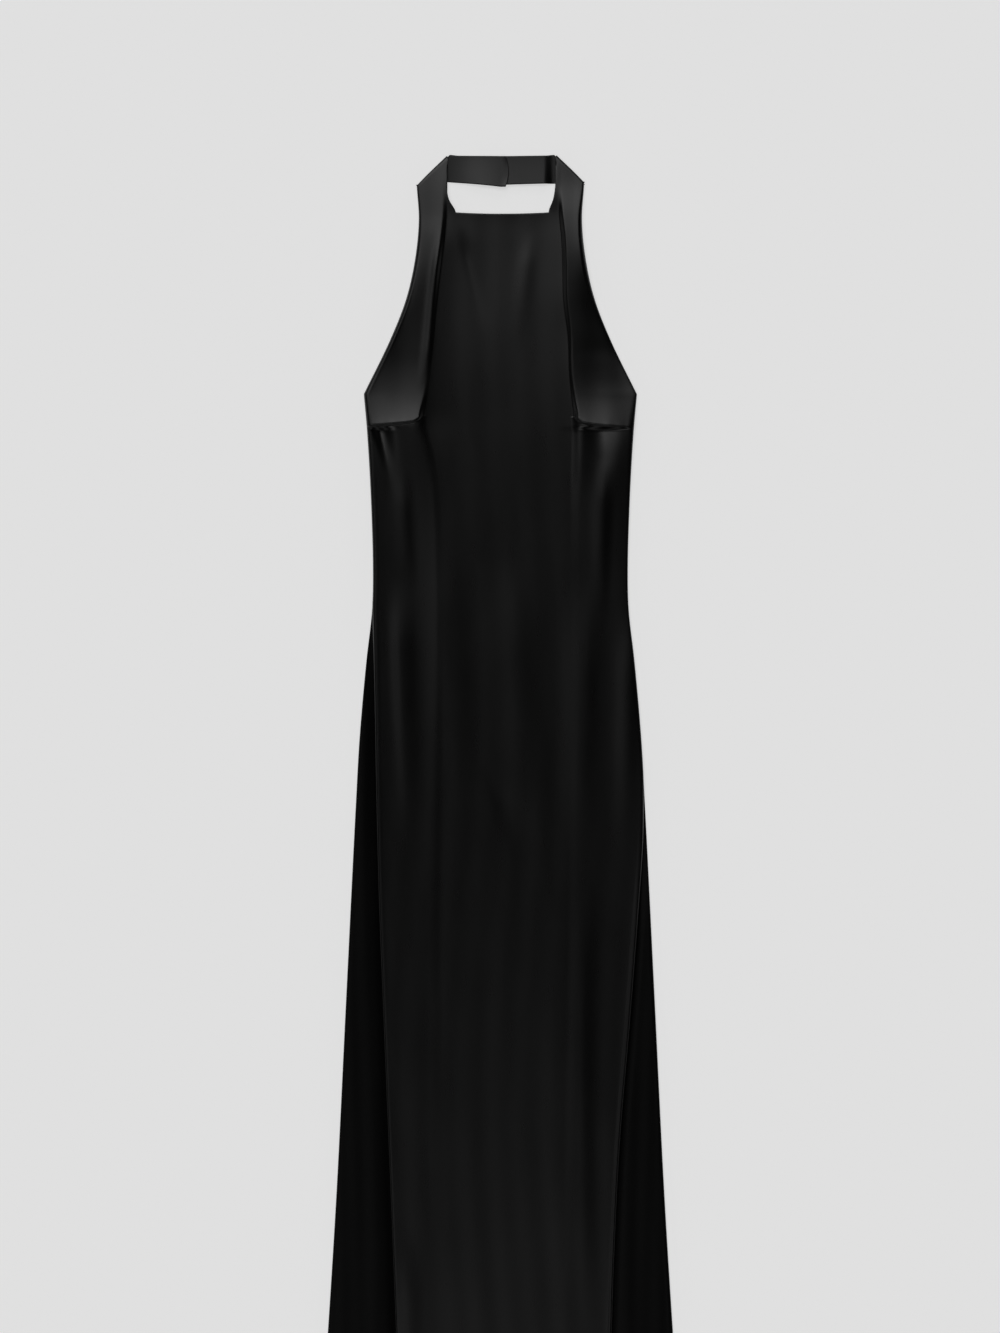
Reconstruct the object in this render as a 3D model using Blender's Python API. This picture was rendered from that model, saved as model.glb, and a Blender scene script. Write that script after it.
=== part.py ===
"""A long black satin halter dress, laid flat on its back on a level surface.

Run with: blender --background --python part.py
Sizes are in millimetres and are turned to metres where the meshes are made. X runs to the right
as the dress is seen from above, Y runs up towards the neck and Z runs up from the surface.
Places along the dress are given as the distance down from the top of the neckband.
"""

import math
from collections import namedtuple

import bmesh
import bpy

MM = 0.001

# Cloth and the way its layers lie
WALL = 1.0
SEAM_GAP = 0.3
LAYER = WALL + SEAM_GAP
BACK_LEVEL = WALL / 2
TURNED_EDGE = 3.0
SKIRT_RETURN = 12.0
SKIRT_OVERLAP = 10.0

# Main lengths, measured down from the top of the neckband
TOTAL_LENGTH = 1560.0
STRAP_WIDTH = 38.5
STRAP_CORNER = 37.5
NECKLINE = 72.5
NECKLINE_SAG = 2.5
UNDERARM = 299.5
BACK_SCOOP = 45.0

# Half of the dress's width where it is widest, from one side fold to the other
Width = namedtuple("Width", "down half")
ARMHOLE = [
    Width(0.0, 104.6),
    Width(37.5, 104.2),
    Width(81.0, 101.6),
    Width(131.0, 106.3),
    Width(181.0, 117.5),
    Width(231.0, 137.0),
    Width(UNDERARM, 170.2),
]
SIDE = [
    Width(UNDERARM, 170.2),
    Width(344.0, 166.3),
    Width(431.0, 161.3),
    Width(531.0, 158.8),
    Width(569.0, 160.0),
    Width(631.0, 167.0),
    Width(731.0, 175.8),
    Width(806.0, 180.0),
    Width(1056.0, 192.5),
    Width(1306.0, 205.0),
    Width(TOTAL_LENGTH, 221.0),
]

# The front's rolled side edges in the skirt, where the back's margins show beyond them
Edge = namedtuple("Edge", "down half")
FRONT_EDGE = {
    "left": [
        Edge(565.0, 159.6),
        Edge(669.0, 157.4),
        Edge(781.0, 155.5),
        Edge(931.0, 151.8),
        Edge(1056.0, 147.0),
        Edge(1306.0, 136.8),
        Edge(1456.0, 131.1),
        Edge(TOTAL_LENGTH, 127.0),
    ],
    "right": [
        Edge(775.0, 178.6),
        Edge(856.0, 178.0),
        Edge(931.0, 173.3),
        Edge(1081.0, 162.0),
        Edge(1231.0, 149.5),
        Edge(1381.0, 142.0),
        Edge(1456.0, 139.5),
        Edge(TOTAL_LENGTH, 135.5),
    ],
}

# The fold along a strap's inner side, which runs on down to the bust dart's point and fades below
# it, and the inner limit of the strap: the neck opening's edge, then the foot of the fold
Strap = namedtuple("Strap", "down fold inner")
STRAP = {
    "left": [
        Strap(0.0, 70.5, 65.5),
        Strap(40.0, 71.3, 66.8),
        Strap(56.0, 71.6, 64.3),
        Strap(72.5, 72.3, 55.5),
        Strap(131.0, 79.3, 68.0),
        Strap(181.0, 84.3, 76.5),
        Strap(231.0, 89.3, 82.5),
        Strap(325.0, 100.0, 93.0),
        Strap(420.0, 92.0, 84.0),
        Strap(700.0, 88.0, 78.0),
        Strap(1000.0, 82.0, 72.0),
        Strap(TOTAL_LENGTH, 74.0, 64.0),
    ],
    "right": [
        Strap(0.0, 74.5, 69.5),
        Strap(40.0, 75.0, 68.3),
        Strap(56.0, 76.3, 65.8),
        Strap(72.5, 78.0, 60.0),
        Strap(131.0, 83.0, 70.0),
        Strap(181.0, 85.5, 77.0),
        Strap(231.0, 89.5, 82.5),
        Strap(325.0, 98.3, 92.0),
        Strap(420.0, 96.0, 88.0),
        Strap(700.0, 96.0, 86.0),
        Strap(1000.0, 90.0, 80.0),
        Strap(TOTAL_LENGTH, 80.0, 70.0),
    ],
}

# Height of the raised bust side above the layer it lies on, at its outer edge, in its middle and
# along the fold beside the strap
Cup = namedtuple("Cup", "down edge middle fold")
CUP = {
    "left": [
        Cup(0.0, 0.3, 0.4, 0.5),
        Cup(37.5, 1.0, 2.2, 3.0),
        Cup(75.0, 2.2, 5.0, 7.0),
        Cup(125.0, 4.0, 8.5, 10.5),
        Cup(170.0, 4.5, 9.5, 12.5),
        Cup(215.0, 3.0, 6.0, 12.0),
        Cup(260.0, 1.5, 3.0, 11.0),
        Cup(300.0, 1.5, 4.5, 10.5),
        Cup(325.0, 2.5, 8.0, 10.5),
        Cup(345.0, 3.5, 10.0, 10.5),
    ],
    "right": [
        Cup(0.0, 0.3, 0.4, 0.5),
        Cup(37.5, 1.2, 2.6, 3.0),
        Cup(75.0, 3.0, 6.0, 7.0),
        Cup(125.0, 5.5, 10.0, 10.5),
        Cup(165.0, 7.5, 12.5, 12.5),
        Cup(200.0, 5.0, 9.0, 12.0),
        Cup(230.0, 2.5, 4.0, 11.0),
        Cup(260.0, 1.5, 2.2, 10.5),
        Cup(300.0, 1.5, 4.5, 10.5),
        Cup(325.0, 2.5, 8.0, 10.5),
        Cup(345.0, 3.5, 10.0, 10.5),
    ],
}

# The bust darts: how far down each lies at the side seam and at its point, where it turns up
# into the strap's fold
DART_AT_SEAM = {"left": 341.5, "right": 344.0}
DART_AT_POINT = {"left": 333.0, "right": 335.0}
DART_CORNER = 14.0
STEP_WIDTH = 6.0
PUFF_HEIGHT = 3.0

# Soft folds of the front, as ridges, or troughs where the height is below zero: the middle line
# from top to bottom, sideways bow at its half, half width and height
Fold = namedtuple("Fold", "name top_x top_down low_x low_down bow width height")
FOLDS = [
    Fold("crease under the left neck corner", -50, 90, -19, 225, 0, 8, -2.0),
    Fold("ridge under the right neck corner", 37, 95, 24, 240, 0, 10, 2.5),
    Fold("streak under the left dart", -144, 345, -122, 480, 0, 10, 6.0),
    Fold("streak under the right dart", 128, 345, 131, 540, 0, 17, 7.0),
    Fold("left waist ridge", -138, 520, -117, 880, -3, 9, 4.0),
    Fold("left waist trough", -117, 520, -94, 980, 2, 10, -3.0),
    Fold("left hip ridge", -88, 500, -58, 905, -6, 14, 5.0),
    Fold("middle ridge", -16, 480, 54, 925, -9, 19, 5.0),
    Fold("slanting trough", -32, 740, 38, 940, 2, 12, -3.0),
    Fold("right waist ridge", 103, 470, 103, 760, 1, 10, 4.0),
    Fold("right hip trough", 122, 560, 120, 1000, -3, 11, -3.5),
    Fold("right hip ridge", 150, 560, 148, 870, 6, 13, 5.0),
    Fold("left skirt ridge", -62, 880, -74, 1540, 4, 30, 3.0),
    Fold("right skirt ridge", 60, 900, 66, 1540, -4, 34, 3.0),
]

# How far down each row of the front's mesh lies, below the neckline
FRONT_ROWS = [
    *(95.0, 120.0, 145.0, 170.0, 195.0, 220.0, 245.0, 272.0, UNDERARM),
    *(315.0, 328.0, 338.0, 342.5, 346.0, 356.0, 375.0, 405.0, 445.0, 490.0, 531.0, 569.0),
    *(610.0, 655.0, 700.0, 745.0, 790.0, 835.0, 880.0, 930.0, 990.0, 1070.0),
    *(1170.0, 1280.0, 1390.0, 1480.0, TOTAL_LENGTH),
]
STRAP_ROWS = 5
BACK_ROWS = [
    *(0.0, 42.0, 100.0, 160.0, 220.0, 270.0, 310.0, 360.0, 410.0, 460.0, 510.0),
    *(570.0, 640.0, 720.0, 820.0, 920.0, 1020.0, 1120.0, 1190.0, TOTAL_LENGTH - UNDERARM),
]

# Columns of the front's mesh, from the turned edge to the middle
RETURN_COLUMNS = 1
ROLL_COLUMNS = 3
CUP_COLUMNS = 6
STEP_COLUMNS = 3
FOOT_COLUMNS = 2
MIDDLE_COLUMNS = 16
SIDE_COLUMNS = RETURN_COLUMNS + ROLL_COLUMNS + CUP_COLUMNS + STEP_COLUMNS + FOOT_COLUMNS
FRONT_COLUMNS = 2 * SIDE_COLUMNS + MIDDLE_COLUMNS

# Columns of the back's mesh
MARGIN_COLUMNS = 4
UNDER_COLUMNS = 8
BACK_COLUMNS = 2 * (MARGIN_COLUMNS + ROLL_COLUMNS) + UNDER_COLUMNS

# The neckband's two halves, which meet in an overlap at the centre back
BAND_COLUMNS = 12
BAND_ROWS = 3
BAND_TOP = 1.8
BAND_LOW_AT_STRAP = 33.0
BAND_LOW_AT_MIDDLE = 39.0
OVERLAP_END = 9.5
OVERLAP_START = -18.0
OVERLAP_RISE = 22.0
OVERLAP_CHAMFER = 3.5


def hex_colour(text):
    """Turns an sRGB hex colour into Blender's linear one."""
    parts = [int(text[i : i + 2], 16) / 255 for i in (1, 3, 5)]
    linear = [c / 12.92 if c <= 0.04045 else ((c + 0.055) / 1.055) ** 2.4 for c in parts]
    return (*linear, 1.0)


def satin(name, colour, roughness):
    material = bpy.data.materials.new(name)
    material.use_nodes = True
    shader = material.node_tree.nodes["Principled BSDF"]
    shader.inputs["Base Color"].default_value = hex_colour(colour)
    shader.inputs["Roughness"].default_value = roughness
    shader.inputs["Metallic"].default_value = 0.0
    return material


def blend(low, high, share):
    return low + (high - low) * share


def ease(value):
    """Runs smoothly from 0 to 1 as the value does, and stays there outside."""
    value = min(max(value, 0.0), 1.0)
    return value * value * (3.0 - 2.0 * value)


def curve_through(rows, column):
    """A function of the distance down, which runs smoothly through one column of a table."""
    downs = [row.down for row in rows]
    values = [getattr(row, column) for row in rows]
    steps = [
        (values[k + 1] - values[k]) / (downs[k + 1] - downs[k]) for k in range(len(rows) - 1)
    ]
    slopes = [steps[0], *(blend(a, b, 0.5) for a, b in zip(steps, steps[1:])), steps[-1]]

    def at(down):
        if down <= downs[0]:
            return values[0]
        if down >= downs[-1]:
            return values[-1]
        k = next(k for k in range(len(downs) - 1) if down <= downs[k + 1])
        span = downs[k + 1] - downs[k]
        t = (down - downs[k]) / span
        return (
            values[k] * (1 + 2 * t) * (1 - t) ** 2
            + slopes[k] * span * t * (1 - t) ** 2
            + values[k + 1] * t * t * (3 - 2 * t)
            + slopes[k + 1] * span * t * t * (t - 1)
        )

    return at


armhole_half = curve_through(ARMHOLE, "half")
side_half = curve_through(SIDE, "half")
front_edge_half = {side: curve_through(rows, "half") for side, rows in FRONT_EDGE.items()}
strap_fold = {side: curve_through(rows, "fold") for side, rows in STRAP.items()}
strap_inner = {side: curve_through(rows, "inner") for side, rows in STRAP.items()}
cup_edge = {side: curve_through(rows, "edge") for side, rows in CUP.items()}
cup_middle = {side: curve_through(rows, "middle") for side, rows in CUP.items()}
cup_fold = {side: curve_through(rows, "fold") for side, rows in CUP.items()}


def outline_half(down):
    return armhole_half(down) if down < UNDERARM else side_half(down)


def front_half(side, down):
    """Half width of the front layer: the outline, until the skirt's rolled edge leaves it."""
    if down < FRONT_EDGE[side][0].down:
        return outline_half(down)
    return min(outline_half(down), front_edge_half[side](down))


def margin_share(side, down):
    """0 where front and back meet at the outline, 1 where the back's margin shows well past."""
    return ease((outline_half(down) - front_half(side, down)) / 20.0)


def turned_level(down):
    """Height of the front's turned-under edge: over the neckband, then over the back."""
    share = ease((down - 225.0) / 60.0)
    return BACK_LEVEL + LAYER + LAYER * share


def dart_line(side, across):
    """How far down the dart runs, at a distance across from the middle."""
    point = strap_fold[side](DART_AT_POINT[side])
    seam = outline_half(DART_AT_SEAM[side])
    share = (across - point) / (seam - point)
    return blend(DART_AT_POINT[side], DART_AT_SEAM[side], math.sqrt(min(max(share, 0.0), 1.0)))


def inside_cup(side, across, down):
    """Distance inside the raised bust side, past the strap's fold and above the dart."""
    past_fold = across - strap_fold[side](down) + STEP_WIDTH / 2
    above_dart = dart_line(side, across) - down
    if past_fold < DART_CORNER and above_dart < DART_CORNER:
        return DART_CORNER - math.hypot(DART_CORNER - past_fold, DART_CORNER - above_dart)
    return min(past_fold, above_dart)


def cup_height(side, across, down):
    fold = strap_fold[side](down)
    share = min(max((across - fold) / (outline_half(down) - fold), 0.0), 1.0)
    edge, middle, inner = (f[side](down) for f in (cup_edge, cup_middle, cup_fold))
    return (
        inner * (1 - share) * (1 - 2 * share) + 4 * middle * share * (1 - share)
        - edge * share * (1 - 2 * share)
    )


def fold_height(fold, x, down):
    share = (down - fold.top_down) / (fold.low_down - fold.top_down)
    if not 0.0 < share < 1.0:
        return 0.0
    middle = blend(fold.top_x, fold.low_x, share) + fold.bow * math.sin(math.pi * share)
    fade = ease(min(share, 1.0 - share) / 0.3)
    return fold.height * fade * math.exp(-(((x - middle) / fold.width) ** 2))


def relief(x, down):
    """Height of the front above the layer that its edges lie on."""
    side = "left" if x < 0 else "right"
    across = abs(x)
    raised = ease(inside_cup(side, across, down) / STEP_WIDTH)
    below_dart = down - dart_line(side, across)
    past_fold = ease((across - strap_fold[side](down) + 20.0) / 30.0)
    puff = PUFF_HEIGHT * past_fold * ease(below_dart / 25.0) * math.exp(-max(below_dart, 0) / 160)
    to_edge = ease((front_half(side, down) - across) / 12.0)
    low = 1.0 + 2.0 * math.exp(-((x / 60.0) ** 2)) + puff
    low += sum(fold_height(fold, x, down) for fold in FOLDS)
    low = blend(0.4, max(low, 0.2), to_edge)
    return blend(low, cup_height(side, across, down), raised)


def roll_point(turn, edge, level, rise):
    """A point of a rolled edge, from the turned-under layer (turn 0) over to the top (turn 1)."""
    angle = math.pi * (turn - 0.5)
    radius = rise / 2
    return edge - radius + radius * math.cos(angle), level + radius + radius * math.sin(angle)


def place(x, down, height):
    """A point of the dress in Blender's metres."""
    return (x * MM, (TOTAL_LENGTH / 2 - down) * MM, height * MM)


def dart_shift(side, across, down):
    """Moves the rows near a dart so that they run along it."""
    near = 1.0 - ease(abs(down - DART_AT_SEAM[side]) / 30.0)
    return (dart_line(side, across) - DART_AT_SEAM[side]) * near * ease((across - 50.0) / 40.0)


def front_across(side, on_top, down):
    """Distance from the middle of a column of the front's upper side, counted from its edge."""
    edge = front_half(side, down)
    roll = (LAYER + relief(edge if side == "right" else -edge, down)) / 2
    crest = strap_fold[side](down) + STEP_WIDTH / 2
    foot = strap_fold[side](down) - STEP_WIDTH / 2
    if on_top <= CUP_COLUMNS:
        return blend(edge - roll, crest, on_top / CUP_COLUMNS)
    if on_top <= CUP_COLUMNS + STEP_COLUMNS:
        return blend(crest, foot, (on_top - CUP_COLUMNS) / STEP_COLUMNS)
    return blend(foot, strap_inner[side](down), (on_top - CUP_COLUMNS - STEP_COLUMNS) / FOOT_COLUMNS)


def front_down(side, on_top, row):
    """How far down a point lies: a strap's rows start from the slanting fold at its top."""
    if row >= STRAP_ROWS:
        return ([NECKLINE] + FRONT_ROWS)[row - STRAP_ROWS]
    share = row / STRAP_ROWS
    across = front_across(side, on_top, blend(STRAP_CORNER / 2, NECKLINE, share))
    start = STRAP_CORNER * (across - strap_inner[side](0.0)) / STRAP_WIDTH
    return blend(min(max(start, 0.0), STRAP_CORNER), NECKLINE, share)


def front_side_point(side, column, row):
    """A point of the front from its turned edge to the foot of the strap's fold."""
    mirror = -1 if side == "left" else 1
    on_top = max(column - RETURN_COLUMNS - ROLL_COLUMNS, 0)
    down = front_down(side, on_top, row)
    edge = front_half(side, down)
    level = turned_level(down)
    rise = LAYER + relief(mirror * edge, down)
    if column < RETURN_COLUMNS:
        width = blend(TURNED_EDGE, SKIRT_RETURN, margin_share(side, down))
        return place(mirror * (edge - rise / 2 - width), down, level)
    if on_top == 0:
        x, height = roll_point((column - RETURN_COLUMNS) / ROLL_COLUMNS, edge, level, rise)
        return place(mirror * x, down, height)
    across = front_across(side, on_top, down)
    down += dart_shift(side, across, down)
    return place(mirror * across, down, level + LAYER + relief(mirror * across, down))


def front_point(column, row):
    if column <= SIDE_COLUMNS:
        return front_side_point("left", column, row)
    if column >= SIDE_COLUMNS + MIDDLE_COLUMNS:
        return front_side_point("right", FRONT_COLUMNS - column, row)
    down = ([NECKLINE] + FRONT_ROWS)[max(row - STRAP_ROWS, 0)]
    share = (column - SIDE_COLUMNS) / MIDDLE_COLUMNS
    x = blend(-strap_inner["left"](down), strap_inner["right"](down), share)
    if row == STRAP_ROWS:
        down += NECKLINE_SAG * (1.0 - (2.0 * share - 1.0) ** 2)
    side = "left" if x < 0 else "right"
    down += dart_shift(side, abs(x), down)
    return place(x, down, turned_level(down) + LAYER + relief(x, down))


def front_has_face(column, row):
    """The neck opening has no cloth between the straps."""
    return row >= STRAP_ROWS or not SIDE_COLUMNS <= column < SIDE_COLUMNS + MIDDLE_COLUMNS


def back_side_point(side, column, down):
    """A point of the back's margin, which folds over at the side and lies on the back."""
    mirror = -1 if side == "left" else 1
    outline = outline_half(down)
    edge = front_half(side, down)
    wide = margin_share(side, down)
    rise = LAYER + 1.2 * wide
    if column < MARGIN_COLUMNS:
        hidden = blend(TURNED_EDGE, SKIRT_OVERLAP, wide)
        width = outline - edge + hidden
        inner = outline - rise / 2 - width
        if column == 0:
            return place(mirror * inner, down, BACK_LEVEL + LAYER)
        inner += min(hidden + SEAM_GAP * 5, 0.4 * width)
        share = (column - 1) / (MARGIN_COLUMNS - 1)
        height = BACK_LEVEL + blend(LAYER, rise, ease(share))
        return place(mirror * blend(inner, outline - rise / 2, share), down, height)
    turn = 1.0 - (column - MARGIN_COLUMNS) / ROLL_COLUMNS
    x, height = roll_point(turn, outline, BACK_LEVEL, rise)
    return place(mirror * x, down, height)


def back_point(column, row):
    folded = MARGIN_COLUMNS + ROLL_COLUMNS
    below = BACK_ROWS[row]
    if column <= folded:
        return back_side_point("left", column, UNDERARM + below)
    if column >= BACK_COLUMNS - folded:
        return back_side_point("right", BACK_COLUMNS - column, UNDERARM + below)
    share = (column - folded) / UNDER_COLUMNS
    limit = outline_half(UNDERARM + below) - LAYER / 2
    x = blend(-limit, limit, share)
    scoop = BACK_SCOOP * (1.0 - (2.0 * share - 1.0) ** 2) * max(1.0 - below / 220.0, 0.0)
    return place(x, UNDERARM + below + scoop, BACK_LEVEL)


def band_point(side, column, row):
    """A point of half the neckband, from the fold under its strap to the centre back."""
    share = column / BAND_COLUMNS
    depth = row / BAND_ROWS
    start = strap_inner[side](0.0) + STRAP_WIDTH * depth
    past_strap = ease(share * 4.0)
    lowest = blend(BAND_LOW_AT_STRAP, BAND_LOW_AT_MIDDLE, ease(share))
    low = blend(STRAP_CORNER, lowest, past_strap)
    down = blend(BAND_TOP * past_strap, low, depth)
    if side == "right":
        return place(blend(start, OVERLAP_START, share), down, BACK_LEVEL)
    end = OVERLAP_END - OVERLAP_CHAMFER * (1.0 - ease(depth / 0.35))
    x = blend(-start, end, share)
    lifted = ease((x - OVERLAP_START) / OVERLAP_RISE + 1.2)
    return place(x, down, BACK_LEVEL + LAYER * lifted)


def cloth_piece(name, columns, rows, point, has_face, material):
    """A closed wall of cloth over a grid whose corners are placed by a function."""
    sheet = bmesh.new()
    bmesh.ops.create_grid(sheet, x_segments=columns, y_segments=rows, size=1.0)
    cells = [
        face
        for face in sheet.faces
        if not has_face(
            math.floor((face.calc_center_median().x + 1) / 2 * columns),
            math.floor((1 - face.calc_center_median().y) / 2 * rows),
        )
    ]
    bmesh.ops.delete(sheet, geom=cells, context="FACES")
    for corner in sheet.verts:
        column = round((corner.co.x + 1) / 2 * columns)
        row = round((1 - corner.co.y) / 2 * rows)
        corner.co = point(column, row)
    mesh = bpy.data.meshes.new(name)
    sheet.to_mesh(mesh)
    sheet.free()
    mesh.shade_smooth()
    mesh.materials.append(material)
    piece = bpy.data.objects.new(name, mesh)
    bpy.context.scene.collection.objects.link(piece)
    wall = piece.modifiers.new("cloth thickness", "SOLIDIFY")
    wall.thickness = WALL * MM
    wall.offset = 0.0
    wall.use_quality_normals = True
    return piece


def whole(column, row):
    return True


def main():
    for old in list(bpy.data.objects):
        bpy.data.objects.remove(old, do_unlink=True)
    face_out = satin("black_satin_face", "#101011", 0.34)
    face_in = satin("black_satin_wrong_side", "#151516", 0.5)
    cloth_piece("back_panel", BACK_COLUMNS, len(BACK_ROWS) - 1, back_point, whole, face_in)
    cloth_piece(
        "front_panel",
        FRONT_COLUMNS,
        STRAP_ROWS + len(FRONT_ROWS),
        front_point,
        front_has_face,
        face_out,
    )
    for side in ("left", "right"):
        cloth_piece(
            f"neckband_{side}",
            BAND_COLUMNS,
            BAND_ROWS,
            lambda column, row, side=side: band_point(side, column, row),
            whole,
            face_in,
        )


main()
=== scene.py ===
"""The looks of a long black satin halter dress, which lies flat on its back on a pale floor.

Blender's panel "Halter dress" lists the operators that make its cloth, seams and stage. Tables are
in millimetres, and places along the dress are distances down from the top of the neckband. X runs
to the right as the dress is seen from above, Y up towards the neck and Z up from the floor.
"""

import math
from collections import namedtuple

import bmesh
import bpy
import numpy as np
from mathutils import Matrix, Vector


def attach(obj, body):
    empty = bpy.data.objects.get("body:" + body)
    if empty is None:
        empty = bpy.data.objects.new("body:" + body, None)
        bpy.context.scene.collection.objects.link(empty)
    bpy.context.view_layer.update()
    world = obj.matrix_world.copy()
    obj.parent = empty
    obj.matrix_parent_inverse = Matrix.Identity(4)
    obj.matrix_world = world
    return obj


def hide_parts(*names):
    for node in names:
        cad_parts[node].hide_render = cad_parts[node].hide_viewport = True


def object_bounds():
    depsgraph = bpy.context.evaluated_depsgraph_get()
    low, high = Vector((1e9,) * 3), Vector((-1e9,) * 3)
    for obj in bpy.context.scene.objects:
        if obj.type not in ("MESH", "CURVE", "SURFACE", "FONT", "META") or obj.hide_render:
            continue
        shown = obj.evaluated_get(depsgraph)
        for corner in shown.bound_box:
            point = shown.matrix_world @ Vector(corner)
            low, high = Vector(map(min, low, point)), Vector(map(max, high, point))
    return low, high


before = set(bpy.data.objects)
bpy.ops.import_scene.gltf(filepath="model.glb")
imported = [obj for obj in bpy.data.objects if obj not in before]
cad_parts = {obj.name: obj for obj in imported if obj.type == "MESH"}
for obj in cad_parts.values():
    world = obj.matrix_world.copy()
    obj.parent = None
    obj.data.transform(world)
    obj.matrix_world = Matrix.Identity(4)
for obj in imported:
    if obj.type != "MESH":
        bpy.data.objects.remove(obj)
CAD_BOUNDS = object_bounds()

bl_info = {
    "name": "Halter dress",
    "version": (1, 0, 0),
    "blender": (4, 5, 0),
    "location": "View3D > Sidebar > Halter dress",
    "description": "Models the cloth, seams and stage of a black satin halter dress laid flat",
    "category": "Add Mesh",
}

MM = 0.001

# The way the layers lie, from the solids of the frame
TOTAL_LENGTH = (CAD_BOUNDS[1][1] - CAD_BOUNDS[0][1]) / MM
BACK_LEVEL = 0.5
LAYER = 1.3
TURNED_EDGE = 3.0
SKIRT_RETURN = 12.0
SKIRT_OVERLAP = 10.0

# The front's turned edge leaves the neckband here and rises one layer, onto the back
EDGE_RISE_START = 225.0
EDGE_RISE_LENGTH = 60.0

# The back's margins in the skirt: how high they rise to the fold at the side and over what width,
# how far they show where they count as fully in sight, and their share of the faint waves
MARGIN_RISE = 3.2
MARGIN_RISE_WIDTH = {"left": 20.0, "right": 11.0}
MARGIN_IN_SIGHT = 20.0
MARGIN_WAVES = 0.35

# Main lengths, measured down from the top of the neckband. A strap's top slants down from there
# to its outer corner, the neckline and the back's upper edge sag, and both sags fade below
STRAP_WIDTH = 38.5
STRAP_CORNER = 37.5
NECKLINE = 72.5
NECKLINE_SAG = 1.6
NECKLINE_BLEND = 20.0
UNDERARM = 299.5
BACK_SCOOP = 45.0
BACK_SCOOP_FADE = 220.0

# How far the rounded fold at a strap's top stands out
STRAP_ROLL = 1.6

# Half of the dress's width from one side fold to the other
Width = namedtuple("Width", "down half")
ARMHOLE = [
    Width(0.0, 104.6),
    Width(37.5, 104.2),
    Width(81.0, 101.6),
    Width(131.0, 106.3),
    Width(181.0, 117.5),
    Width(231.0, 137.0),
    Width(UNDERARM, 170.2),
]
SIDE = [
    Width(UNDERARM, 170.2),
    Width(344.0, 166.3),
    Width(431.0, 161.3),
    Width(531.0, 158.8),
    Width(569.0, 160.0),
    Width(631.0, 167.0),
    Width(731.0, 175.8),
    Width(806.0, 180.0),
    Width(1056.0, 192.5),
    Width(1306.0, 205.0),
    Width(TOTAL_LENGTH, 221.0),
]

# The front's rolled side edges in the skirt, where the back's margins show beyond them
Edge = namedtuple("Edge", "down half")
FRONT_EDGE = {
    "left": [
        Edge(565.0, 159.6),
        Edge(669.0, 157.4),
        Edge(781.0, 155.5),
        Edge(931.0, 151.8),
        Edge(1056.0, 147.0),
        Edge(1306.0, 136.8),
        Edge(1456.0, 131.1),
        Edge(TOTAL_LENGTH, 127.0),
    ],
    "right": [
        Edge(775.0, 178.6),
        Edge(856.0, 178.0),
        Edge(931.0, 173.3),
        Edge(1081.0, 162.0),
        Edge(1231.0, 149.5),
        Edge(1381.0, 142.0),
        Edge(1456.0, 139.5),
        Edge(TOTAL_LENGTH, 135.5),
    ],
}

# The fold along a strap's inner side, which runs on down to the bust dart's point and fades below
# it, and the inner limit of the strap: the neck opening's edge, then the foot of the fold
Strap = namedtuple("Strap", "down fold inner")
STRAP = {
    "left": [
        Strap(0.0, 69.5, 65.5),
        Strap(40.0, 70.0, 66.8),
        Strap(56.0, 69.5, 64.3),
        Strap(72.5, 69.5, 55.5),
        Strap(106.0, 72.5, 60.0),
        Strap(136.0, 76.3, 65.0),
        Strap(181.0, 81.5, 71.0),
        Strap(241.0, 87.0, 77.0),
        Strap(301.0, 94.0, 85.0),
        Strap(336.0, 99.5, 90.0),
        Strap(375.0, 89.0, 79.0),
        Strap(430.0, 82.5, 72.5),
        Strap(500.0, 79.5, 69.5),
        Strap(1000.0, 80.0, 70.0),
        Strap(TOTAL_LENGTH, 74.0, 64.0),
    ],
    "right": [
        Strap(0.0, 72.5, 69.5),
        Strap(40.0, 73.5, 68.3),
        Strap(56.0, 74.5, 65.8),
        Strap(72.5, 75.5, 60.0),
        Strap(106.0, 79.0, 66.0),
        Strap(136.0, 80.3, 69.0),
        Strap(181.0, 81.2, 70.5),
        Strap(226.0, 86.5, 76.0),
        Strap(271.0, 88.0, 77.5),
        Strap(301.0, 91.0, 80.5),
        Strap(336.0, 95.5, 86.0),
        Strap(420.0, 94.0, 84.0),
        Strap(700.0, 94.0, 84.0),
        Strap(1000.0, 90.0, 80.0),
        Strap(TOTAL_LENGTH, 80.0, 70.0),
    ],
}

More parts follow.
